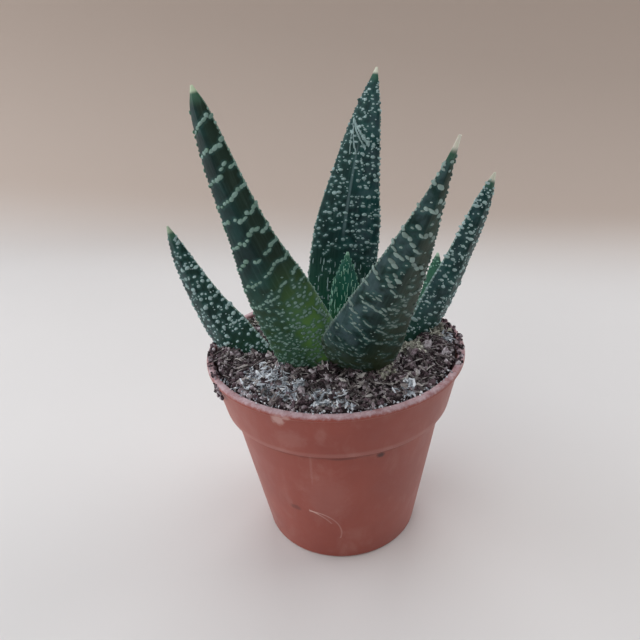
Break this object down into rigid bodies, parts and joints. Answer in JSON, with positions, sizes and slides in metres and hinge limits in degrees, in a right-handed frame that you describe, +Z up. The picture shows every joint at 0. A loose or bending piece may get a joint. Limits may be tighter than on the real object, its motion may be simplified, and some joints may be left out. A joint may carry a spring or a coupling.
{
  "type": "potted haworthia",
  "caption": "Young rosette succulent with upright pointed leaves, pale raised bands and dots, in peat soil in a small tapered collared nursery pot.",
  "frame": {"origin": "middle of the pot's underside, on the surface that it stands on", "axes": "+Z up along the pot's axis; -Y towards the front, where the banded leaves show their outer faces; +X to the right as seen from the front"},
  "size_m": [0.0659, 0.0623, 0.0996],
  "materials": {
    "pot_plastic": "dusty moulded terracotta-brown plastic",
    "peat_soil": "fibrous crumbly peat with mineral grains",
    "root_flesh": "matte pale root skin",
    "leaf_young": "satin fresh green leaf skin with pale dots",
    "leaf_dotted": "satin dark green leaf skin with white dots",
    "leaf_banded": "satin dark green leaf skin with pale cross bands"
  },
  "bodies": {
    "root": {"pot": "pot_plastic", "soil": "peat_soil", "crown_and_roots": "root_flesh", "leaf_centre_young": "leaf_young", "leaf_back_tall": "leaf_dotted", "leaf_left_tall": "leaf_banded", "leaf_right_front": "leaf_banded", "leaf_right_narrow": "leaf_dotted", "leaf_left_low": "leaf_dotted", "leaf_right_small": "leaf_young"}
  },
  "joints": []
}
